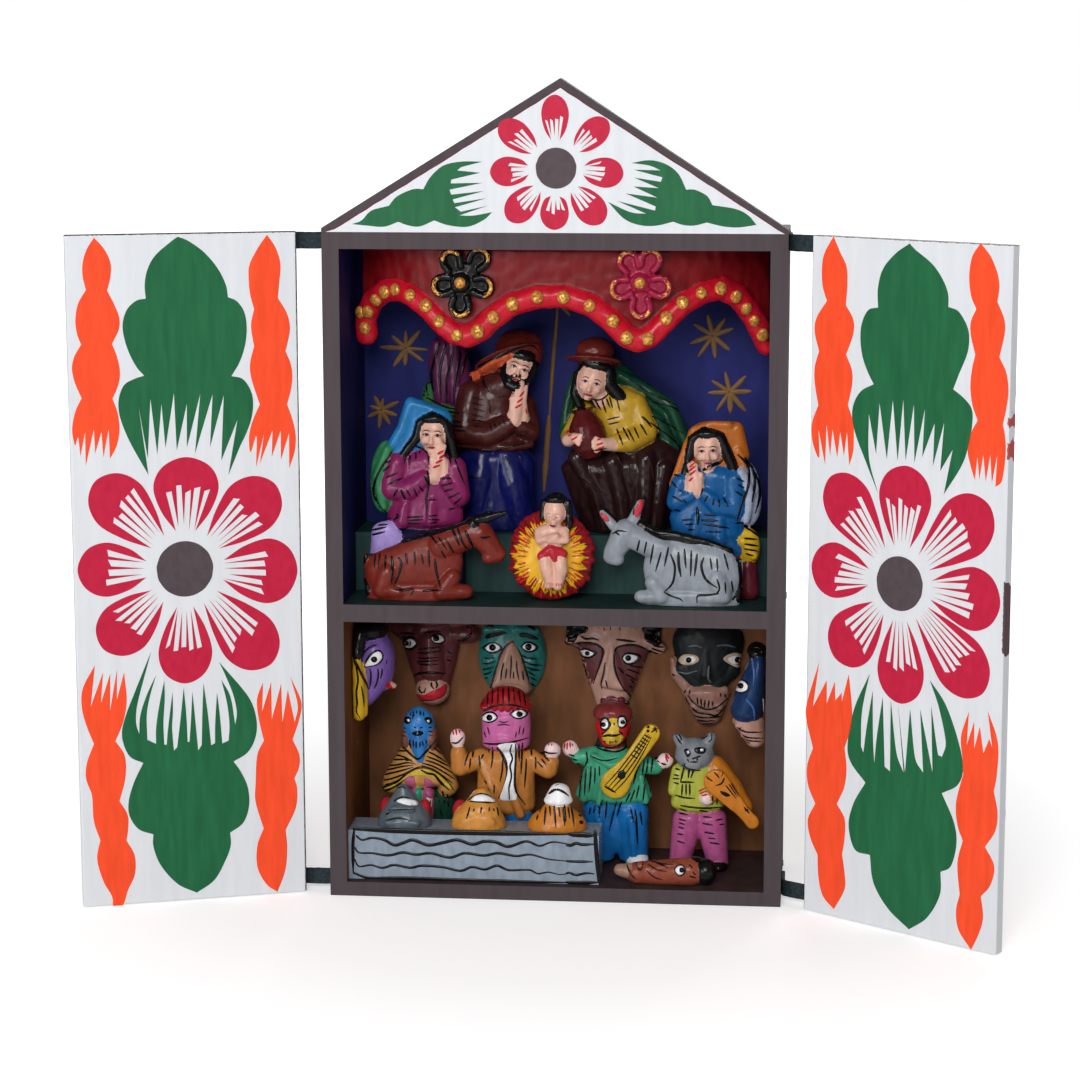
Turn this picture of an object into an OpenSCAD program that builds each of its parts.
// Retablo box: a gabled wooden case with two strap-hinged doors and two tiers of modelled figures.
// X runs to the right, Y runs into the case and Z runs up.
// The origin is the centre of the case's underside.

/* [Case] */
// Outside width of the case
case_w = 150; // [130:1:180]
// Outside height of the case without its gable
case_h = 221; // [214:1:245]
// Depth inside the case, from the front edges to the back panel
niche_d = 50; // [49:0.5:60]
// Thickness of the two side boards
side_t = 5.6; // [4.5:0.1:7]
// Thickness of the top board
top_t = 5.3; // [4.5:0.1:7]
// Thickness of the shelf between the tiers
shelf_t = 5.8; // [4.5:0.1:7]
// Thickness of the bottom board
bottom_t = 4.8; // [4.2:0.1:7]
// Thickness of the back panel
back_t = 3; // [2:0.1:5]
// Clear height of the lower tier
lower_h = 88.5; // [86:0.5:94]

/* [Gable] */
// Height of the gable's point above the case
gable_h = 49; // [36:0.5:60]
// Sideways place of the gable's point, which is cut by hand
gable_lean = 2.3; // [-4:0.1:4]
// Height of the gable board's cut ends above the case's corners
eave_h = 1.4; // [1:0.1:2]
// Thickness of the gable board
gable_t = 6; // [4:0.1:9]

/* [Doors] */
// Width of each door
door_w = 74.2; // [60:0.1:74.4]
// Thickness of each door
door_t = 4.5; // [3.5:0.1:6]
// Height of the doors above the surface that the case stands on
door_lift = 0.5; // [0.3:0.1:2]
// Width of the chamfer along the doors' upright edges
door_chamfer = 0.6; // [0.2:0.1:1]
// Opening of the left door as it stands, counted from closed
left_open = 160.5; // [90:0.5:180]
// Opening of the right door as it stands, counted from closed
right_open = 144; // [90:0.5:180]

/* [Strap hinges] */
// Height of the leather straps
strap_h = 5.5; // [4:0.1:7]
// Thickness of the leather
strap_t = 1.2; // [0.8:0.1:1.6]
// Length of strap that is glued to the case's side
strap_case_l = 10; // [6:0.5:16]
// Length of strap that is glued to the door's outer face
strap_door_l = 11; // [6:0.5:16]
// Distance of the upper straps from the case's top
strap_top_gap = 0.3; // [0:0.1:12]
// Distance of the lower straps from the case's underside
strap_bottom_gap = 1.6; // [1:0.1:14]

/* [Nails] */
// Diameter of the nails' shanks
nail_d = 1.1; // [0.8:0.1:1.4]
// Diameter of the nails' heads
nail_head_d = 2.2; // [1.6:0.1:3]
// Length of the nails
nail_l = 14; // [10:0.5:18]

/* [Upper tier] */
// Depth of the step at the back of the upper tier
step_d = 23.4; // [22.4:0.1:25]
// Height of the step
step_h = 19.7; // [12:0.1:22]
// Height of the valance's scallops above its lowest points
scallop_h = 14.5; // [8:0.5:18]
// Distance of the valance's lowest points from the ceiling
valance_drop = 32.2; // [26:0.1:36]
// Width of one scallop, measured along the sheet
scallop_w = 51; // [40:0.5:60]
// How far the valance's ends sweep back
valance_sweep = 25; // [15:0.5:30]
// Thickness of the valance's sheet
valance_t = 2; // [1.4:0.1:3]
// Height of the valance's rolled edge
roll_h = 6.4; // [4:0.1:8]
// How far the rolled edge stands in front of the sheet
roll_out = 2.2; // [1:0.1:2.6]
// Radius of the pellets on the rolled edge
pellet_r = 1.9; // [1.2:0.1:2.4]
// Radius of a rosette
rosette_r = 9.6; // [7:0.1:11]
// Height of the kneeling man with his hat
man_h = 67.5; // [58:0.5:72]
// Height of the seated woman with her hat
seated_woman_h = 66; // [58:0.5:72]
// Height of the two kneeling women
kneeling_woman_h = 67; // [58:0.5:70]
// Largest radius of the water jar
jar_r = 6.2; // [5:0.1:6.6]
// Height of the straw nest
nest_h = 31; // [26:0.5:34]
// Height of the ox at its back
ox_h = 30; // [26:0.5:32]
// Height of the donkey at its ears
donkey_h = 36; // [30:0.5:40]

/* [Lower tier] */
// Length of the bench from the left wall
bench_l = 84; // [76:0.5:85]
// Depth of the bench
bench_d = 16; // [15.5:0.1:17]
// Height of the bench
bench_h = 16.8; // [12:0.1:19]
// Distance of the bench from the case's front
bench_front = 4; // [2:0.1:5]
// Height of the caped figure
caped_h = 53; // [44:0.5:58]
// Height of the dancer with the cap
dancer_h = 61; // [52:0.5:66]
// Height of the guitarist with his hat
guitarist_h = 54.5; // [46:0.5:60]
// Height of the fiddler
fiddler_h = 46.5; // [40:0.5:52]
// How far the wall masks stand out from their wall
mask_d = 9; // [7:0.1:10]

/* [Hidden] */

// Facets of the lumps that the figures are built up from: small lumps need fewer
ball_sides = 8;
small_sides = 6;
small_r = 4.5;
limb_sides = 6;
brim_sides = 14;
fine_sides = 48;
// Clearance between the doors' closed faces and the case
door_play = 0.3;
// Clearance between the doors' strap ends and the strap's free span
span_play = 0.05;
// Clearance round a piece that is let into a figure
let_in = 0.15;
// Clearance round a nail in its hole
nail_play = 0.05;

case_d = niche_d + back_t;
front_y = -case_d / 2;
half_w = case_w / 2;
inner_half = half_w - side_t;
// The figures are drawn for this half width between the side boards, and follow it when it changes
drawn_half = 69.4;
width_k = inner_half / drawn_half;
shelf_z = bottom_t + lower_h;
upper_z = shelf_z + shelf_t;
ceiling_z = case_h - top_t;
step_y = niche_d - step_d;
step_z = upper_z + step_h;
bench_z = bottom_t + bench_h;
door_h = case_h - door_lift;

// Rows of figures, as distances from the case's front
row_gap = 0.4;
kneel_half_d = 5;
animal_half_d = 4.2;
kneel_y = step_y - row_gap - kneel_half_d;
animal_y = kneel_y - kneel_half_d - row_gap - animal_half_d;
rear_y = step_y + 12.5;

// Hinge lines, as places beside the case: the left strap is set a little further back
hinge_out = 4;
left_hinge = [-half_w - hinge_out, 2];
right_hinge = [half_w + hinge_out, 0];
// Length of strap left free between its two glued ends
strap_free_case = 9;
strap_free_door = 3;

// Places in this file are measured from the case's front, so this moves them to the origin
module in_case() {
    translate([0, front_y, 0]) children();
}
// Sets what stands or hangs in the tiers between the side boards
module in_tier() {
    in_case() scale([width_k, 1, 1]) children();
}

// Solid shapes that the figures are built up from, as lumps of paste are
module ball(at, r, turn = [0, 0, 0]) {
    hull() translate(at) rotate(turn) scale(r)
        sphere(1, $fn = max(r) > small_r ? ball_sides : small_sides);
}
module limb(start, end, r_start, r_end) {
    hull() {
        translate(start) sphere(r_start, $fn = limb_sides);
        translate(end) sphere(r_end, $fn = limb_sides);
    }
}
// A flat disc with rounded rim, for hat brims
module brim(at, r, t, turn) {
    hull() translate(at) rotate(turn) {
        cylinder(h = t, r = r, center = true, $fn = brim_sides);
        cylinder(h = t * 2, r = r * 0.8, center = true, $fn = brim_sides);
    }
}
// A skirt or body that narrows upwards between two ovals
module drape(low, low_r, high, high_r, foot = 0.6) {
    hull() {
        translate(low) scale([low_r[0], low_r[1], 1]) cylinder(h = foot, r = 1, $fn = brim_sides);
        translate(high) scale(high_r) sphere(1, $fn = ball_sides);
    }
}
// What rests on a floor is cut flat at its foot
module seated() {
    intersection() {
        union() children();
        translate([-case_w, -case_w, 0]) cube([2 * case_w, 2 * case_w, case_h]);
    }
}
// What hangs on a wall is cut flat at its back, where local Y is 0
module hung() {
    intersection() {
        union() children();
        translate([-case_w, -case_w, -case_h]) cube([2 * case_w, case_w, 2 * case_h]);
    }
}
// Sets a figure that was drawn at one height to the height chosen for it
module stretched(height, drawn) {
    scale([1, 1, height / drawn]) children();
}

// Nail places: two through each side into each end of the three boards, clear of the straps
nail_from_strap = 4;
nail_from_back = 6;
nail_y = [strap_free_case + strap_case_l + nail_from_strap, niche_d - nail_from_back];
board_mid_z = [bottom_t / 2, shelf_z + shelf_t / 2, ceiling_z + top_t / 2];
nail_head_t = 0.3;
module at_nails() {
    for (side = [-1, 1], y = nail_y, z = board_mid_z)
        translate([side * (half_w + nail_head_t), y, z]) rotate([0, -90 * side, 0]) children();
}
module nail(play = 0) {
    cylinder(h = nail_l + play, d = nail_d + 2 * play, $fn = fine_sides);
    if (play == 0) cylinder(h = nail_head_t, d = nail_head_d, $fn = fine_sides);
}

module side_board(side) {
    in_case() difference() {
        translate([side > 0 ? inner_half : -half_w, 0, 0]) cube([side_t, niche_d, case_h]);
        at_nails() nail(nail_play);
    }
}
module side_left() {
    color("#51464a") side_board(-1);
}
module side_right() {
    color("#51464a") side_board(1);
}
module cross_board(z, t) {
    in_case() difference() {
        translate([-inner_half, 0, z]) cube([2 * inner_half, niche_d, t]);
        at_nails() nail(nail_play);
    }
}
module top_board() {
    color("#51464a") cross_board(ceiling_z, top_t);
}
module shelf_board() {
    color("#51464a") cross_board(shelf_z, shelf_t);
}
module bottom_board() {
    color("#51464a") cross_board(0, bottom_t);
}
module nails() {
    color("#9a9a9a") in_case() at_nails() nail();
}

module back_panel() {
    color("#6b4a30") in_case() translate([-half_w, niche_d, 0]) cube([case_w, back_t, case_h]);
}
// The gable is one upright board that stands on the case, flush with its front
module gable_board() {
    color("#d4d7dc") in_case() translate([0, gable_t, case_h]) rotate([90, 0, 0])
        linear_extrude(gable_t) polygon([
            [-half_w, 0], [half_w, 0], [half_w, eave_h], [gable_lean, gable_h], [-half_w, eave_h]
        ]);
}

// A door is drawn closed, as seen in plan for the left side: u runs from its hinged edge towards
// the middle, and its inner face lies just in front of the case
module door_plan() {
    c = door_chamfer;
    polygon([
        [0, -c], [c, 0], [door_w - c, 0], [door_w, -c],
        [door_w, c - door_t], [door_w - c, -door_t], [c, -door_t], [0, c - door_t]
    ]);
}
// Turns what belongs to a closed left door about the hinge line, and mirrors it for the right
module door_place(side) {
    hinge = side < 0 ? left_hinge : right_hinge;
    open = side < 0 ? left_open : right_open;
    translate([hinge[0], hinge[1], 0])
        mirror([side > 0 ? 1 : 0, 0, 0])
            rotate([0, 0, -open])
                translate([hinge_out, -door_play - hinge[1], 0]) children();
}
module door(side) {
    in_case() door_place(side) translate([0, 0, door_lift]) linear_extrude(door_h) door_plan();
}
module door_left() {
    color("#d4d7dc") door(-1);
}
module door_right() {
    color("#d4d7dc") door(1);
}

// Straps: one end on the case's side, one on the door's outer face, and a free span between.
// The free span is a cubic curve in plan that leaves each glued end along its own face.
strap_upper_z = case_h - strap_top_gap - strap_h;
strap_lower_z = strap_bottom_gap;
function turned(p, a) = [p[0] * cos(a) - p[1] * sin(a), p[0] * sin(a) + p[1] * cos(a)];
function strap_start(side) = [-half_w - strap_t / 2, strap_free_case];
// The door end of the free span, worked out for the left side; the right side is its mirror
function strap_end(side) = let (
        hinge = side < 0 ? left_hinge : right_hinge,
        open = side < 0 ? left_open : right_open,
        closed = [
            hinge_out + strap_free_door, -door_play - hinge[1] - door_t - strap_t / 2 - strap_lift
        ]
    ) [-half_w - hinge_out, hinge[1]] + turned(closed, -open);
function strap_heading(side) = turned([1, 0], -(side < 0 ? left_open : right_open));
// How strongly the curve keeps to its two faces, and its gap from the door's face
strap_pull_case = 2.5;
strap_pull_door = 6.5;
strap_lift = 0.2;
function cubic(a, b, c, d, t) =
    a * pow(1 - t, 3) + 3 * b * t * pow(1 - t, 2) + 3 * c * t * t * (1 - t) + d * pow(t, 3);
function cubic_heading(a, b, c, d, t) = let (
        v = (b - a) * pow(1 - t, 2) + 2 * (c - b) * t * (1 - t) + (d - c) * t * t
    ) v / norm(v);
strap_steps = 14;
function strap_edge(side, off) = let (
        a = strap_start(side),
        d = strap_end(side) - strap_heading(side) * span_play,
        b = a + [0, -1] * strap_pull_case,
        c = d - strap_heading(side) * strap_pull_door
    ) [for (i = [0 : strap_steps]) let (
        p = cubic(a, b, c, d, i / strap_steps),
        h = cubic_heading(a, b, c, d, i / strap_steps)
    ) p + off * [-h[1], h[0]]];
function reversed(list) = [for (i = [len(list) - 1 : -1 : 0]) list[i]];

module strap_span(side, z) {
    in_case() mirror([side > 0 ? 1 : 0, 0, 0]) translate([0, 0, z]) linear_extrude(strap_h)
        polygon(concat(strap_edge(side, strap_t / 2), reversed(strap_edge(side, -strap_t / 2))));
}
module case_flap(side, z) {
    in_case() mirror([side > 0 ? 1 : 0, 0, 0])
        translate([-half_w - strap_t, strap_free_case, z]) cube([strap_t, strap_case_l, strap_h]);
}
module door_flap(side, z) {
    in_case() door_place(side) translate([strap_free_door, -door_t - strap_t, z])
        cube([strap_door_l, strap_t, strap_h]);
}
strap_tint = "#262e36";
module left_upper_case_flap() {
    color(strap_tint) case_flap(-1, strap_upper_z);
}
module left_upper_span() {
    color(strap_tint) strap_span(-1, strap_upper_z);
}
module left_upper_door_flap() {
    color(strap_tint) door_flap(-1, strap_upper_z);
}
module left_lower_case_flap() {
    color(strap_tint) case_flap(-1, strap_lower_z);
}
module left_lower_span() {
    color(strap_tint) strap_span(-1, strap_lower_z);
}
module left_lower_door_flap() {
    color(strap_tint) door_flap(-1, strap_lower_z);
}
module right_upper_case_flap() {
    color(strap_tint) case_flap(1, strap_upper_z);
}
module right_upper_span() {
    color(strap_tint) strap_span(1, strap_upper_z);
}
module right_upper_door_flap() {
    color(strap_tint) door_flap(1, strap_upper_z);
}
module right_lower_case_flap() {
    color(strap_tint) case_flap(1, strap_lower_z);
}
module right_lower_span() {
    color(strap_tint) strap_span(1, strap_lower_z);
}
module right_lower_door_flap() {
    color(strap_tint) door_flap(1, strap_lower_z);
}

module stage_step() {
    color("#193230") in_case() translate([-inner_half, step_y, upper_z])
        cube([2 * inner_half, step_d, step_h]);
}

// Valance: one section is swept along a line that is bowed in plan, while its foot follows the
// scallops. The bow is a fourth power of the distance from the middle.
valance_front = 5.2;
valance_half = inner_half - 0.05;
sweep_power = 4;
function bow(x) = valance_front + valance_sweep * pow(abs(x) / inner_half, sweep_power);
function bow_slope(x) =
    sign(x) * valance_sweep * sweep_power * pow(abs(x) / inner_half, sweep_power - 1) / inner_half;
function bow_normal(x) = let (n = [bow_slope(x), -1]) n / norm(n);
// Length along the bow from the middle, by summing short steps
bow_step = 1;
function bow_length(x) = let (n = max(1, ceil(abs(x) / bow_step)), d = abs(x) / n)
    sign(x) * summed([for (i = [0 : n - 1]) d * norm([1, bow_slope((i + 0.5) * d)])]);
function summed(list, i = 0) = i >= len(list) ? 0 : list[i] + summed(list, i + 1);
valance_low_z = ceiling_z - valance_drop;
function scallop(s) = scallop_h * pow(abs(cos(180 * s / scallop_w)), 0.8);
function valance_foot(x) = valance_low_z + scallop(bow_length(x));
// Section as [how far out of the sheet's front face, height above the foot]
function roll_section() = [
    [-valance_t, 1.2], [-valance_t * 0.5, 0.3], [0.4, 0], [roll_out * 0.8, roll_h * 0.14],
    [roll_out, roll_h * 0.4], [roll_out * 0.85, roll_h * 0.7], [roll_out * 0.3, roll_h * 0.95],
    [0, roll_h * 1.15]
];
valance_stations = 56;
function station_x(i) = -valance_half + 2 * valance_half * i / valance_stations;
function valance_ring(x) = let (n = bow_normal(x), f = valance_foot(x)) concat(
    [for (p = roll_section()) [x + n[0] * p[0], bow(x) + n[1] * p[0], f + p[1]]],
    [[x, bow(x), ceiling_z], [x - n[0] * valance_t, bow(x) - n[1] * valance_t, ceiling_z]]
);
module valance() {
    n = len(roll_section()) + 2;
    last = valance_stations;
    points = [for (i = [0 : last]) each valance_ring(station_x(i))];
    sides = [for (i = [0 : last - 1], k = [0 : n - 1]) [
        i * n + k, i * n + (k + 1) % n, (i + 1) * n + (k + 1) % n, (i + 1) * n + k
    ]];
    ends = [[for (k = [n - 1 : -1 : 0]) k], [for (k = [0 : n - 1]) last * n + k]];
    color("#d7142d") in_case() intersection() {
        polyhedron(points, concat(sides, ends), convexity = 6);
        translate([-valance_half, 0, 0]) cube([2 * valance_half, niche_d, ceiling_z]);
    }
}
pellet_count = 27;
pellet_play = 0.08;
module pellet() {
    intersection() {
        translate([0, pellet_r * 0.35, 0]) sphere(pellet_r, $fn = fine_sides);
        translate([-pellet_r, -pellet_r, -pellet_r]) cube([2 * pellet_r, pellet_r, 2 * pellet_r]);
    }
}
module valance_pellets() {
    span = valance_half - 4.5;
    color("#cd9141") in_case() for (i = [0 : pellet_count - 1]) {
        x = -span + 2 * span * i / (pellet_count - 1);
        n = bow_normal(x);
        out = roll_out + pellet_play;
        translate([x + n[0] * out, bow(x) + n[1] * out, valance_foot(x) + roll_h * 0.4])
            rotate([0, 0, atan2(n[0], -n[1])]) pellet();
    }
}

// Rosette of five cupped petals round a button
petals = 5;
rosette_t = 3.6;
module rosette(lean) {
    petal_r = rosette_r * 0.42;
    hung() {
        for (i = [0 : petals - 1]) rotate([0, lean + i * 360 / petals, 0]) difference() {
            ball([0, 0, -rosette_r * 0.6], [petal_r, rosette_t, rosette_r * 0.42]);
            ball([0, -rosette_t, -rosette_r * 0.66], [petal_r * 0.55, rosette_t * 0.5, petal_r * 0.6]);
        }
        ball([0, -rosette_t * 0.3, 0], [rosette_r * 0.28, rosette_t * 0.7, rosette_r * 0.28]);
        ball([0, 0, 0], [rosette_r * 0.5, rosette_t * 0.6, rosette_r * 0.5]);
    }
}
rosette_low = 11.3;
rosette_play = 0.1;
black_rosette_x = -27.8;
pink_rosette_x = 26.8;
function rosette_place(x) = [x, bow(x * width_k) - 0.6 - rosette_play, ceiling_z - rosette_low];
module rosette_black() {
    color("#1c2228") in_tier() translate(rosette_place(black_rosette_x)) rosette(4);
}
module rosette_pink() {
    color("#a01e46") in_tier() translate(rosette_place(pink_rosette_x)) rosette(-2);
}

// Rear row, left: a kneeling man with a bundle on his back
module kneeling_man() {
    color("#5a2320") in_tier() translate([-23, rear_y, step_z]) stretched(man_h, 67.5) seated() {
        drape([0, 0, 0], [13.6, 8], [0, 0, 24], [13.5, 7.4, 6]);
        hull() {
            translate([-1, 0, 28]) scale([13.6, 7.8, 3]) sphere(1, $fn = ball_sides);
            translate([-2, 1, 44]) scale([10.5, 7, 7]) sphere(1, $fn = ball_sides);
        }
        ball([2, 0, 48], [8.5, 6, 6]);
        limb([-8, -2, 46], [-9.5, -5, 33.5], 4.4, 4);
        limb([-9.5, -5, 33.5], [5.5, -8, 37.5], 4, 3);
        limb([10, -1, 42], [11, -4, 34.5], 3.6, 3.2);
        limb([11, -4, 34.5], [7.5, -7.6, 37.5], 3.2, 2.8);
        limb([7.2, -8, 38], [9.6, -8, 50], 3, 1.7);
        ball([8, -3, 54.7], [5.6, 5.6, 6.8], [0, 12, 0]);
        ball([8.2, -1.6, 55.5], [6.4, 5.8, 7.2], [0, 12, 0]);
        ball([7.6, -4.6, 49.8], [3.4, 3, 3], [0, 12, 0]);
        ball([6.9, 0, 60.4], [8, 7.4, 7.2]);
        brim([3.4, -1.2, 57.2], 12.2, 1, [-24, -17, 0]);
        ball([-16, 3, 53], [7.6, 5, 13.2], [0, -8, 0]);
        ball([-17.5, 3, 37.5], [9.6, 4.4, 6.2], [0, 14, 0]);
        ball([-21, 4, 44], [5, 3.4, 6.4]);
    }
}

// Rear row, right: a seated woman who holds a water jar
jar_h = 16.3;
woman_place = [19, rear_y - 0.5, step_z];
jar_place = [-10.4, -8.4, 34];
function woman_k() = seated_woman_h / 66;
module jar_body(play = 0, sides = fine_sides) {
    r = jar_r + play;
    h = jar_h / 2 + play;
    rotate([0, -12, 0]) rotate_extrude($fn = sides) polygon([
        [0, -h], [r * 0.52, -h], [r * 0.86, -h * 0.62], [r, -h * 0.1], [r * 0.92, h * 0.36],
        [r * 0.6, h * 0.74], [r * 0.5, h * 0.84], [r * 0.62, h], [0, h]
    ]);
}
module at_jar() {
    in_tier() translate(woman_place)
        translate([jar_place[0], jar_place[1], jar_place[2] * woman_k()]) children();
}
module seated_woman() {
    color("#2a1412") difference() {
        in_tier() translate(woman_place) stretched(seated_woman_h, 66) seated() {
            drape([1, 0, 0], [14, 7.6], [0, -1, 21], [20.4, 8.4, 8]);
            ball([8, 0, 24], [14, 7.4, 9]);
            ball([0, -1, 36], [10.5, 6.6, 11]);
            ball([3, -1, 42], [8.5, 5.6, 6.5], [0, 24, 0]);
            limb([6, -1.5, 43], [10.6, -3, 33.5], 4, 4);
            limb([10.6, -3, 33.5], [-2, -9.5, 30.5], 4, 2.6);
            limb([-1.5, -9.8, 30.5], [-6.5, -13.4, 31], 2.6, 1.9);
            limb([-12, -1, 41], [-17, -4, 32], 3.2, 3);
            limb([-17, -4, 32], [-16.6, -9.6, 31.5], 3, 2.4);
            limb([-16.6, -10.5, 31.8], [-13.6, -14, 33.4], 2.4, 1.9);
            ball([-9.2, -4, 51], [5.7, 5.4, 6.8], [0, 16, 0]);
            ball([-8.4, -2.2, 52], [6.9, 5.8, 7.4], [0, 16, 0]);
            limb([-3, -2, 50], [5, -1, 43], 3.4, 2.4);
            limb([-14, -1.5, 50], [-13.6, -3, 43], 2.8, 2);
            ball([-8.4, -2, 60.6], [6, 6, 5.4]);
            brim([-9, -2.4, 57.6], 9.4, 0.9, [-14, 4, 0]);
            hull() {
                translate([-7, 4, 54]) scale([8, 3.4, 6]) sphere(1, $fn = ball_sides);
                translate([17, 4, 30]) scale([6, 3.4, 5]) sphere(1, $fn = ball_sides);
                translate([-14, 4, 34]) scale([4, 3.4, 6]) sphere(1, $fn = ball_sides);
            }
        }
        at_jar() jar_body(let_in * 2, brim_sides);
    }
}
module water_jar() {
    color("#5c1a1c") at_jar() jar_body();
}

// Middle row, left: a woman in a blue veil
module veiled_woman() {
    color("#a02a72") in_tier() translate([-46, kneel_y, upper_z]) stretched(kneeling_woman_h, 67) seated() {
        drape([0, 0, 0], [15, 4.8], [0, 0, 20], [15.4, 4.8, 7]);
        ball([-9.4, 0, 20], [8, 4.6, 8]);
        hull() {
            translate([1.4, 0, 27]) scale([12.6, 4.6, 4]) sphere(1, $fn = ball_sides);
            translate([2, 0.4, 44]) scale([9.4, 4.4, 5]) sphere(1, $fn = ball_sides);
        }
        limb([-8, -0.6, 44], [-9.4, -1, 36.5], 4, 4);
        limb([-9.4, -1, 36.5], [2.4, -2.4, 41], 4, 2.3);
        limb([11.4, -0.6, 43], [12.2, -1, 33.5], 3.6, 3.6);
        limb([12.2, -1, 33.5], [7, -2.4, 40], 3.6, 2.3);
        limb([5.6, -2.8, 40.5], [7, -2.6, 51], 2.2, 1.4);
        ball([4.1, -1, 54.4], [5, 3.8, 5.8]);
        ball([4.2, 0, 55.2], [6.6, 4.4, 7]);
        limb([9, 0.4, 54], [11.4, 0, 46.5], 2.4, 1.8);
        limb([-1, 0.4, 54], [-8, 0, 47], 2.8, 2.2);
        hull() {
            translate([-3.6, 1.6, 64.6]) scale([2.2, 2.4, 2.4]) sphere(1, $fn = ball_sides);
            translate([5, 1.6, 58.6]) scale([4.6, 3, 4]) sphere(1, $fn = ball_sides);
            translate([-8.4, 1.8, 46.5]) scale([3, 2.8, 3]) sphere(1, $fn = ball_sides);
        }
        ball([-12.6, 1, 39.5], [5.2, 3.8, 12.6], [0, 4, 0]);
    }
}

// Middle row, right: a woman in an orange hood with two bundles behind her
module hooded_woman() {
    color("#1e5f9a") in_tier() translate([50, kneel_y, upper_z]) stretched(kneeling_woman_h, 67) seated() {
        drape([-3, 0, 0], [14, 4.8], [-4, 0, 18], [13.8, 4.8, 7]);
        hull() {
            translate([-1.2, 0, 22]) scale([12.4, 4.6, 4]) sphere(1, $fn = ball_sides);
            translate([0.4, 0.4, 40]) scale([10, 4.4, 5]) sphere(1, $fn = ball_sides);
        }
        limb([8, -0.6, 40], [7.4, -1, 32], 4.2, 4.2);
        limb([7.4, -1, 32], [-2, -2.4, 37], 4.2, 2.3);
        limb([-9.6, -0.6, 39], [-10, -1, 33.5], 3.6, 3.4);
        limb([-10, -1, 33.5], [-5, -2.4, 37], 3.4, 2.3);
        limb([-5, -2.8, 36.5], [-5.6, -2.6, 45.6], 2.3, 1.4);
        ball([-0.8, -1, 50.8], [5.5, 3.8, 6.2]);
        ball([-0.6, 0, 51.6], [7, 4.4, 7.2]);
        limb([-7, 0.2, 50], [-8, 0, 42], 2, 1.4);
        limb([6, 0.2, 49], [9, 0, 41.6], 2.2, 1.6);
        hull() {
            translate([0, 1.4, 54.4]) scale([8, 3.4, 6.2]) sphere(1, $fn = ball_sides);
            translate([8.4, 1.6, 56]) scale([2.6, 2.4, 2.8]) sphere(1, $fn = ball_sides);
            translate([4, 1.6, 46]) scale([7, 3, 4]) sphere(1, $fn = ball_sides);
        }
        ball([12, 0.6, 36], [5.2, 4, 11.4], [0, -6, 0]);
        ball([12.6, 0.4, 17.5], [4.2, 4, 7.8]);
        limb([13.6, -0.4, 4.2], [12.6, -0.4, 12], 2.9, 3);
        ball([13.4, -1.6, 1.6], [3, 3.4, 2.4]);
    }
}

// Front row, middle: the straw nest stands on edge, and the infant lies against it
nest_place = [-1, 9.4, upper_z];
nest_lean = -8;
nest_half = nest_h / 2;
// Distance of the plane between nest and infant in front of the nest's middle
infant_seat = 1.6;
module infant_lumps() {
    ball([-1.2, -2, 31.4], [4.4, 3, 5.2]);
    ball([-1.3, -3.3, 29.6], [3.4, 2.6, 4.6]);
    hull() {
        translate([-1.4, -3.2, 24.4]) scale([5.6, 2.2, 2.8]) sphere(1, $fn = ball_sides);
        translate([-1.2, -3.4, 20]) scale([5.8, 2.4, 3.4]) sphere(1, $fn = ball_sides);
    }
    ball([-1.4, -3.6, 18], [5.9, 2.6, 2.6]);
    limb([-3.8, -3.4, 16], [-3, -3.2, 9.2], 2.6, 1.9);
    limb([1, -3.4, 16], [0.6, -3.2, 9.2], 2.6, 1.9);
    limb([-5.8, -3, 23.6], [-2, -4.4, 20.6], 1.5, 1.2);
    limb([3.4, -3, 23.6], [0, -4.4, 20.6], 1.5, 1.2);
}
module infant() {
    color("#dca08c") in_tier() translate(nest_place) rotate([nest_lean, 0, 0]) difference() {
        infant_lumps();
        translate([-case_w / 2, -infant_seat, 0]) cube([case_w, case_w, case_h]);
    }
}
module straw_nest() {
    tufts = 15;
    color("#d8aa1e") in_tier() translate(nest_place) difference() {
        seated() rotate([nest_lean, 0, 0]) {
            ball([0, 1.2, nest_half], [14.2, 4.2, nest_half]);
            for (i = [0 : tufts - 1]) {
                a = 360 * i / tufts;
                limb(
                    [9.5 * sin(a), -0.2, nest_half + (nest_half - 4.5) * cos(a)],
                    [12.6 * sin(a), 1.4, nest_half + (nest_half - 1.6) * cos(a)], 2.3, 1.7
                );
            }
        }
        rotate([nest_lean, 0, 0]) translate([-case_w / 2, -case_w - infant_seat + let_in / 2, 0])
            cube([case_w, case_w, case_h]);
    }
}

// Front row: two resting animals, side on
module ox() {
    color("#963c2d") in_tier() translate([-44, animal_y, upper_z]) stretched(ox_h, 30) seated() {
        hull() {
            translate([-12, 0, 8.6]) scale([8, 4.2, 8]) sphere(1, $fn = ball_sides);
            translate([4, 0, 13]) scale([9, 4, 10.4]) sphere(1, $fn = ball_sides);
        }
        drape([-3, 0, 0], [16.6, 4.2], [-3, 0, 3], [16, 4.2, 3]);
        ball([9.6, -0.4, 4], [5, 3.9, 5]);
        ball([-13.6, -0.6, 4.6], [6.2, 3.7, 5]);
        limb([6, 0, 19], [17, 0, 23.6], 4.2, 3.9);
        limb([18.4, 0, 23], [23.8, 0, 15.8], 4, 2.5);
        ball([22.4, 0, 24.4], [2.6, 2.8, 2.8]);
        ball([17.2, -3, 23.8], [2.8, 1.2, 3.2]);
        ball([17.2, 3, 23.8], [2.8, 1.2, 3.2]);
        limb([19, 0, 27], [28, 0, 29.6], 1.7, 0.9);
        limb([-19.4, 0, 14], [-19, 0, 5], 1.2, 0.9);
    }
}
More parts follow.
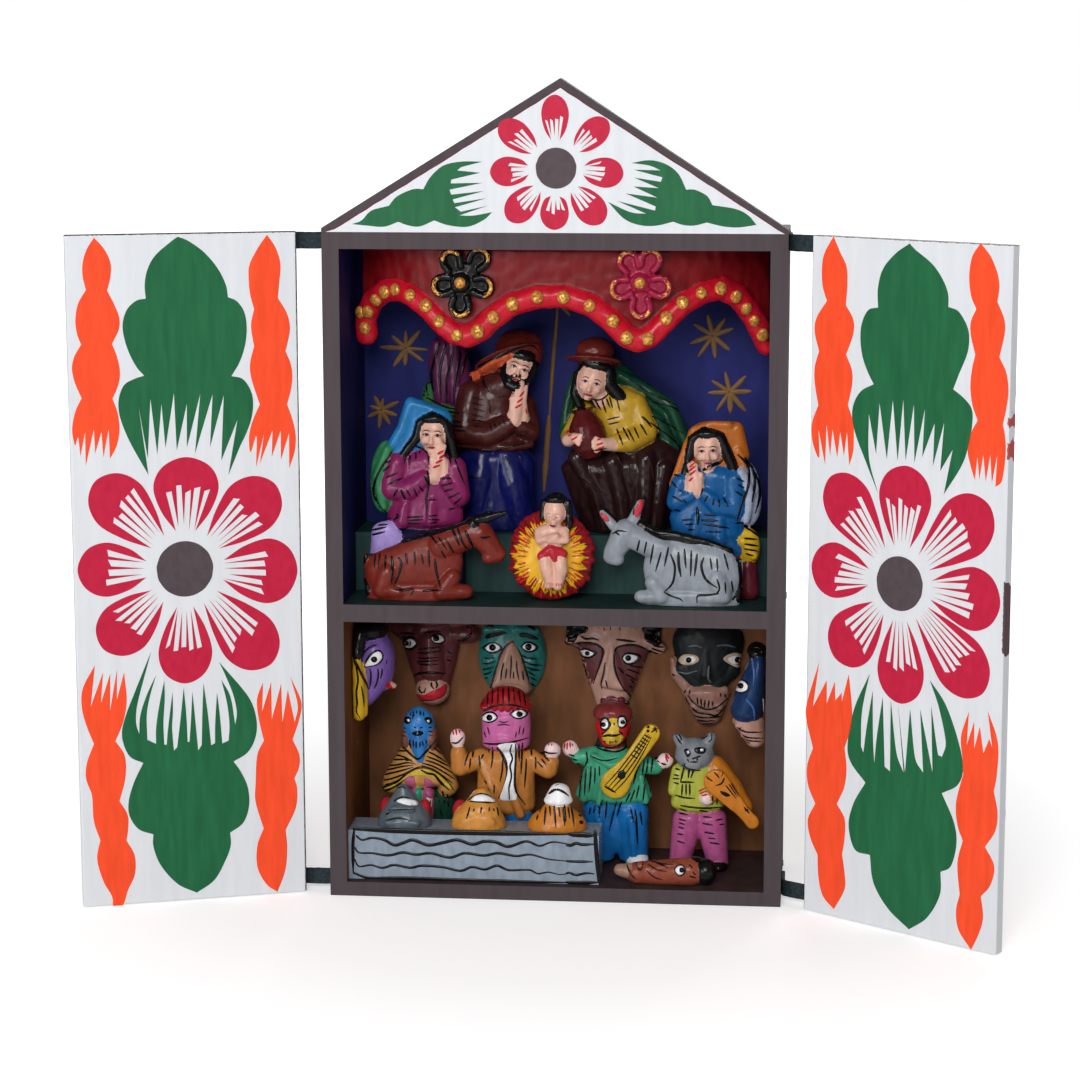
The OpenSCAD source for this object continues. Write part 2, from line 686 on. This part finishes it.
module donkey() {
    color("#969ba0") in_tier() translate([41, animal_y - 1.4, upper_z]) stretched(donkey_h, 36) seated() {
        hull() {
            translate([11, 0, 10]) scale([9, 4.2, 9.6]) sphere(1, $fn = ball_sides);
            translate([-4, 0, 12]) scale([8.4, 4, 10.6]) sphere(1, $fn = ball_sides);
        }
        drape([3, 0, 0], [16.6, 4.2], [3, 0, 3], [16.2, 4.2, 3]);
        ball([-9, -0.4, 4], [4.8, 3.9, 4.4]);
        ball([13, -0.6, 4.6], [6, 3.7, 5]);
        limb([-6, 0, 18], [-16, 0, 22.6], 4.4, 4.2);
        limb([-18.6, 0, 23.8], [-22.2, 0, 16.6], 4.8, 3.3);
        limb([-16.4, 1.4, 26], [-13.6, 1.4, 33.8], 2.2, 1.4);
        limb([-22.4, -1.4, 26], [-26.4, -1.4, 31], 1.8, 1.1);
        limb([-12.6, 0, 24.4], [8, 0, 20.4], 1.8, 1.6);
        limb([19.2, 0, 14], [19, 0, 5], 1.3, 1);
    }
}

// Masks on the walls of the lower tier. Each is drawn facing front with its back at local Y 0,
// and its place gives the distance from the middle and the height above the lower floor.
mask_k = mask_d / 9;
module wall_mask(x, z) {
    in_tier() translate([x, niche_d, bottom_t + z]) scale([1, mask_k, 1]) hung() children();
}
module bull_mask() {
    color("#46201e") wall_mask(-47, 65) {
        ball([0, 0, 9.4], [10.6, 5.4, 8]);
        hull() {
            translate([0, 0, 5]) scale([9.4, 5.6, 5]) sphere(1, $fn = ball_sides);
            translate([0.6, -1.6, -8.6]) scale([6, 5.6, 5]) sphere(1, $fn = ball_sides);
        }
        ball([0.7, -3, -9], [6.4, 5.8, 5]);
        limb([8, -2, 11], [14.8, -2, 12.4], 2.8, 1.9);
        limb([-8, -2, 11], [-16.4, -2, 11.6], 2.8, 2);
        ball([-4, -5, 10], [2.8, 1.4, 2.4]);
        ball([5.4, -5, 11.4], [2.8, 1.4, 2]);
        ball([0, -3, 15], [6, 3, 3.4]);
    }
}
module long_nose_mask() {
    color("#14695f") wall_mask(-19.4, 69) {
        ball([0, 0, 0], [11.2, 6, 14.7]);
        hull() {
            translate([0.4, -4.4, 5]) scale([1.6, 1.6, 1.8]) sphere(1, $fn = ball_sides);
            translate([-4, -5, -10.6]) scale([2.6, 3.4, 2.4]) sphere(1, $fn = ball_sides);
            translate([4.4, -5, -12]) scale([2.6, 3.4, 2.4]) sphere(1, $fn = ball_sides);
        }
        ball([-6.4, -4.6, 4.4], [3, 1.2, 1.8]);
        ball([6.2, -4.6, 5], [3, 1.2, 1.8]);
        limb([-8.4, -3.2, 8], [-2, -4.4, 8.8], 1.3, 1.1);
        limb([2.4, -4.4, 8.8], [8.8, -3.2, 8], 1.1, 1.3);
        ball([0, -2, 12], [8, 3.2, 3]);
    }
}
module lined_mask() {
    color("#94705f") wall_mask(16.5, 64) {
        hull() {
            translate([0, 0, 10]) scale([12.8, 5.4, 10]) sphere(1, $fn = ball_sides);
            translate([-1, -0.6, -11]) scale([5.6, 5, 6]) sphere(1, $fn = ball_sides);
        }
        hull() {
            translate([-0.4, -4.4, 9]) scale([1.9, 2, 2]) sphere(1, $fn = ball_sides);
            translate([-0.4, -5, -7]) scale([4.4, 3.8, 2.8]) sphere(1, $fn = ball_sides);
        }
        ball([0, -4.6, -11.6], [4.2, 3.4, 2.2]);
        ball([-0.6, -3.2, -15], [4.2, 3, 2.4]);
        ball([-13.6, -1.4, 14], [4.4, 3, 4.6]);
        ball([14, -1.4, 13.6], [4.4, 3, 4.6]);
        limb([-12, -1.2, 9.6], [-16.4, -1.2, 8], 2, 1.3);
        limb([12, -1.2, 8.6], [16.8, -1.2, 7], 2, 1.3);
        ball([0, -3, 16.4], [8, 3.4, 3.6]);
    }
}
module grinning_mask() {
    color("#1e2628") wall_mask(49, 64.5) {
        ball([0, 0, 5], [13.8, 6.2, 13.6]);
        hull() {
            translate([-1.6, -1, -8]) scale([9.4, 5.4, 4.6]) sphere(1, $fn = ball_sides);
            translate([-0.8, -1, -16]) scale([5.4, 4.6, 4.4]) sphere(1, $fn = ball_sides);
        }
        ball([-0.8, -5.2, 1], [2.8, 3, 5.6]);
        ball([-7.4, -5, 5.6], [3.6, 1.6, 2.2]);
        ball([6.8, -5, 5.8], [3.6, 1.6, 2.4]);
        limb([-11, -3.4, 10], [-3, -5.2, 9.4], 1.6, 1.4);
        limb([2, -5.2, 9.4], [10.4, -3.4, 10], 1.4, 1.6);
        ball([-1.4, -4.6, -8.6], [7, 3, 3.4]);
    }
}
// The two masks on the side walls are drawn facing their wall's inside, then turned
module side_mask(side, y, z) {
    in_tier() translate([side * drawn_half, y, bottom_t + z]) rotate([0, 0, -90 * side])
        scale([1, mask_k, 1]) hung() children();
}
module bird_mask() {
    color("#694b8c") side_mask(-1, 24, 69) {
        ball([0, 0, 0], [9, 12, 13.8]);
        ball([0, -1, 10], [7.6, 9, 7]);
        limb([0, -9, -6.4], [-0.6, -13.4, -8], 3, 1.2);
        ball([-8.4, 0, -3.4], [3.4, 3.2, 15]);
        ball([-5.6, -2.4, -1.4], [2.6, 4, 12]);
        ball([-1, -8, 4], [2.4, 1.6, 3]);
        ball([4, -4, 9], [4, 4, 5]);
        limb([2, -7, -4], [1, -6, -11], 3, 2.4);
    }
}
module blue_mask() {
    color("#14325f") side_mask(1, 27, 60) {
        hull() {
            translate([0, 0, 6]) scale([9, 7, 12]) sphere(1, $fn = ball_sides);
            translate([-1, -3, -3]) scale([8.6, 8, 8]) sphere(1, $fn = ball_sides);
        }
        hull() {
            translate([-1, -3.6, -9]) scale([7.4, 7, 5]) sphere(1, $fn = ball_sides);
            translate([0, -0.6, -17]) scale([5.4, 5.6, 4]) sphere(1, $fn = ball_sides);
        }
        limb([-2, -8, 2], [-2, -10, -7], 2.6, 2.2);
        ball([-3.4, -8.6, -1], [1.8, 1.8, 2]);
        ball([3.4, -8.6, -1], [1.8, 1.8, 2]);
        ball([0, -1, 15], [6, 6, 3.4]);
        limb([-5, -6.4, -11], [3, -8, -10.4], 1.6, 1.6);
        limb([-4, -4.6, -15], [3, -6, -14.4], 1.6, 1.6);
    }
}

// Masked figures that stand in the lower tier
module caped_figure() {
    color("#a8783c") in_tier() translate([-48.5, 32.5, bottom_t]) stretched(caped_h, 53) seated() {
        drape([0, 0, 0], [9.6, 6], [0, 0, 20], [11.8, 6.6, 6]);
        hull() {
            translate([0, 0, 27]) scale([13.5, 6.6, 3.4]) sphere(1, $fn = ball_sides);
            translate([0.4, 0, 38]) scale([6.4, 4.8, 3.4]) sphere(1, $fn = ball_sides);
        }
        ball([-7.4, -1, 26], [6, 5.4, 4.6], [0, -14, 0]);
        ball([7.8, -1, 26], [6, 5.4, 4.6], [0, 14, 0]);
        ball([0.6, -1, 44.6], [5.2, 5, 8.3]);
        limb([0.6, -3.4, 42], [0.6, -4.4, 36], 3.4, 1.6);
        ball([-3.8, -1.4, 43], [2, 3.6, 4.6]);
        ball([5, -1.4, 43], [2, 3.6, 4.6]);
        limb([-1.4, -4.4, 47], [-2.2, -5, 46.6], 1.2, 1);
        limb([2.6, -4.4, 47], [3.4, -5, 46.6], 1.2, 1);
    }
}
module capped_dancer() {
    color("#be7332") in_tier() translate([-19.5, 28.5, bottom_t]) stretched(dancer_h, 61) seated() {
        drape([-4.6, 0, 0], [4.4, 4.6], [-4.6, 0, 18], [5, 4.8, 4]);
        drape([5.2, 0, 0], [4.4, 4.6], [5.2, 0, 18], [5, 4.8, 4]);
        hull() {
            translate([0.4, 0, 22]) scale([10.4, 5.8, 3.4]) sphere(1, $fn = ball_sides);
            translate([0.6, 0, 36]) scale([10, 5.4, 4.4]) sphere(1, $fn = ball_sides);
        }
        limb([-8, 0, 36], [-15.6, -1, 34.4], 3.6, 3.3);
        limb([-15.6, -1, 34.4], [-15.4, -1.6, 41], 3.3, 2.3);
        ball([-15.4, -1.8, 43.4], [2.6, 2.2, 3.8]);
        limb([9, 0, 36], [14.8, -1, 34.2], 3.6, 3.3);
        limb([14.8, -1, 34.2], [15.8, -1.6, 37.8], 3.3, 2.4);
        ball([16, -1.8, 40], [2.8, 2.2, 3.6]);
        hull() {
            translate([0.7, -0.4, 41.4]) scale([7.6, 6, 3]) sphere(1, $fn = ball_sides);
            translate([0.7, -0.4, 54]) scale([8.2, 6.6, 6.6]) sphere(1, $fn = ball_sides);
        }
        brim([0.7, -0.2, 53.4], 7.4, 1.2, [0, -2, 0]);
        ball([1.4, -5.6, 47.4], [3.4, 2.4, 2.4]);
    }
}
// The guitar lies across the guitarist, and both share this place
guitarist_place = [18, 31.5, bottom_t];
function guitarist_k() = guitarist_h / 54.5;
guitar_t = 2.6;
module guitar_outline(play = 0, sides = fine_sides) {
    translate([0, -8.6]) circle(r = 6.2 + play, $fn = sides);
    translate([0, -1.8]) circle(r = 4.4 + play, $fn = sides);
    translate([-2 - play, -3]) square([4 + 2 * play, 18.4 + play]);
    translate([0, 14.6]) circle(r = 3 + play, $fn = sides);
}
module at_guitar() {
    in_tier() translate(guitarist_place)
        translate([5.8, -5.4, 37 * guitarist_k()]) rotate([90, 34, 0]) children();
}
module guitarist() {
    color("#328264") difference() {
        in_tier() translate(guitarist_place) stretched(guitarist_h, 54.5) seated() {
            drape([-4.8, 0, 2], [4.6, 4.8], [-3.6, 0, 18], [6, 5, 4]);
            drape([6.2, 0, 2], [4.6, 4.8], [5.4, 0, 18], [6, 5, 4]);
            ball([-7, -2, 1.4], [3.4, 4.6, 2.6]);
            ball([7.8, -2, 1.6], [4, 4.8, 3]);
            hull() {
                translate([-0.4, 0, 22]) scale([13.8, 6.2, 4]) sphere(1, $fn = ball_sides);
                translate([-0.6, 0, 36]) scale([8.8, 5.6, 5]) sphere(1, $fn = ball_sides);
            }
            limb([-7, 0, 37], [-13.6, -1, 37.6], 3.6, 2.4);
            ball([-15.2, -1.2, 40], [2.8, 2.2, 3]);
            limb([8, 0, 35], [14.6, -1, 34], 3.6, 2.4);
            ball([17.2, -1.2, 36.6], [2.8, 2.2, 2.8]);
            ball([-0.9, -0.6, 45.4], [6.6, 5.4, 6]);
            brim([-0.9, 0, 50.4], 6.6, 1.4, [0, 2, 0]);
            ball([-0.9, 0, 51.4], [5.4, 5, 3.4]);
            limb([-2.6, -4.8, 43.6], [1, -4.8, 43.6], 1.6, 1.6);
        }
        at_guitar() translate([0, 0, -let_in]) linear_extrude(guitar_t * 4)
            guitar_outline(let_in * 2, brim_sides);
    }
}
module guitar() {
    color("#be961e") at_guitar() difference() {
        linear_extrude(guitar_t) guitar_outline();
        translate([0, -5.4, guitar_t - 0.8]) cylinder(h = 1, r = 1.5, $fn = fine_sides);
    }
}
// The fiddle is held against the fiddler's side, and both share this place
fiddler_place = [47, 29, bottom_t];
function fiddler_k() = fiddler_h / 46.5;
fiddle_t = 2.4;
module fiddle_outline(play = 0, sides = fine_sides) {
    translate([0, 6.4]) circle(r = 4.6 + play, $fn = sides);
    circle(r = 3.8 + play, $fn = sides);
    translate([-1.5 - play, -14.4 - play]) square([3 + 2 * play, 14]);
    translate([0, -14.6]) circle(r = 2.1 + play, $fn = sides);
}
module at_fiddle() {
    in_tier() translate(fiddler_place)
        translate([9.6, -6.6, 27.4 * fiddler_k()]) rotate([90, -38, 0]) children();
}
module fiddler() {
    color("#aab43c") difference() {
        in_tier() translate(fiddler_place) stretched(fiddler_h, 46.5) seated() {
            drape([-6.6, -0.4, 1.6], [3.8, 4], [-3.8, 0, 17.4], [5.4, 4.8, 4]);
            drape([6.2, -1.4, 1.6], [3.8, 4], [3.8, 0, 17.4], [5.4, 4.8, 4]);
            ball([-6.8, -2.4, 1], [3.2, 4.2, 2.2]);
            ball([6.6, -3.4, 1], [3.2, 4.2, 2.2]);
            hull() {
                translate([-0.8, 0, 21.4]) scale([9.2, 5.6, 3.4]) sphere(1, $fn = ball_sides);
                translate([-0.4, 0, 33]) scale([8.2, 5, 4.4]) sphere(1, $fn = ball_sides);
            }
            limb([6, 0, 34], [11, -2.6, 28], 4.2, 3.4);
            limb([11, -2.6, 28], [4.4, -5.6, 24.6], 3.4, 1.8);
            limb([11, -3, 27], [16.6, -4, 19], 3.2, 2.2);
            ball([-2, -1, 38.6], [6.2, 5, 5.8]);
            ball([-2.4, -4.6, 35], [4, 2.4, 2.8]);
            limb([-6.4, -1, 42], [-7.6, -1.4, 44.6], 2.2, 1.3);
            limb([2.4, -1, 42], [3.6, -1.4, 45], 2.2, 1.3);
        }
        at_fiddle() translate([0, 0, -let_in]) linear_extrude(fiddle_t * 4)
            fiddle_outline(let_in * 2, brim_sides);
    }
}
module fiddle() {
    color("#c87828") at_fiddle() linear_extrude(fiddle_t) fiddle_outline();
}

// Bench, with masks laid out on it, and one mask that lies on the floor
module bench() {
    color("#828c96") in_tier() translate([-drawn_half, bench_front, bottom_t])
        cube([bench_l, bench_d, bench_h]);
}
bench_mask_y = bench_front + bench_d / 2;
module on_bench(x) {
    in_tier() translate([x, bench_mask_y, bench_z]) seated() children();
}
module grey_bench_mask() {
    color("#3c484e") on_bench(-51.5) {
        ball([0, 0, 0], [9.2, 6.8, 9]);
        limb([0.6, -2.6, 7.4], [-0.6, 0, 13.6], 3.2, 1.6);
        ball([0.6, -4.6, 6], [5, 2, 1.6]);
        ball([0, -5.2, 3.4], [5.4, 2, 1.4]);
        ball([-5.4, 2, 5.6], [3.8, 4, 4]);
        ball([6, 2, 5], [3.4, 4, 4]);
        ball([-2, 3, 8.4], [3, 3, 2]);
        ball([2.6, 3, 8], [3, 3, 2]);
    }
}
module orange_bench_mask() {
    color("#c37d37") on_bench(-26.5) {
        ball([0, 0, 0], [9, 6.8, 8.8]);
        limb([1, -2, 8], [1.4, 1, 11.8], 3, 1.9);
        ball([0.8, -4.2, 7], [4.4, 2, 1.5]);
        ball([-4.4, 2, 5.4], [3.8, 4, 4.2]);
        ball([5, 2, 4.8], [3.4, 4, 3.8]);
        ball([-2, 3, 8], [3, 3, 2]);
        ball([3, 3, 7.6], [3, 3, 2]);
        ball([0.4, -5, 2.8], [6, 1.8, 3]);
    }
}
module striped_bench_mask() {
    color("#be731e") on_bench(0) {
        ball([0, 0, 0], [10.2, 6.8, 8.2]);
        limb([0, -2, 7], [0.4, 0.6, 11.8], 4.2, 3);
        ball([0, -4.4, 6], [3.6, 2, 1.7]);
        ball([-5.6, 1.6, 5], [3.8, 4, 3.6]);
        ball([5.6, 1.6, 5], [3.8, 4, 3.6]);
        ball([-6.6, -2.6, 2.6], [3, 3, 3]);
        ball([6.6, -2.6, 2.6], [3, 3, 3]);
        ball([0, 3, 8.4], [3.4, 2.6, 2]);
    }
}
module floor_mask() {
    color("#7d3c2d") in_tier() translate([36, 7.4, bottom_t]) seated() {
        hull() {
            translate([-8, 0, 3.6]) scale([5, 3.6, 3.8]) sphere(1, $fn = ball_sides);
            translate([8, -0.4, 4.4]) scale([7, 4.4, 4.8]) sphere(1, $fn = ball_sides);
        }
        limb([-9, 0, 4], [-15, 0.4, 4.2], 3, 2.2);
        ball([-7.4, -2, 5.6], [2.4, 1.6, 3]);
        ball([6, -3.6, 5.4], [2.4, 1.4, 2.2]);
        ball([14, -0.6, 4.6], [4, 4.2, 4.8]);
        ball([10, 0, 6.4], [4, 3.4, 3.4]);
        limb([-2, -2.6, 6], [4, -3.2, 7.4], 1.4, 1.2);
        ball([0, 0, 3.2], [11, 4.2, 3.6]);
    }
}

side_left();
side_right();
top_board();
shelf_board();
bottom_board();
back_panel();
gable_board();
nails();
door_left();
door_right();
left_upper_case_flap();
left_upper_span();
left_upper_door_flap();
left_lower_case_flap();
left_lower_span();
left_lower_door_flap();
right_upper_case_flap();
right_upper_span();
right_upper_door_flap();
right_lower_case_flap();
right_lower_span();
right_lower_door_flap();
stage_step();
valance();
valance_pellets();
rosette_black();
rosette_pink();
kneeling_man();
seated_woman();
water_jar();
veiled_woman();
hooded_woman();
straw_nest();
infant();
ox();
donkey();
bird_mask();
bull_mask();
long_nose_mask();
lined_mask();
grinning_mask();
blue_mask();
caped_figure();
capped_dancer();
guitarist();
guitar();
fiddler();
fiddle();
bench();
grey_bench_mask();
orange_bench_mask();
striped_bench_mask();
floor_mask();
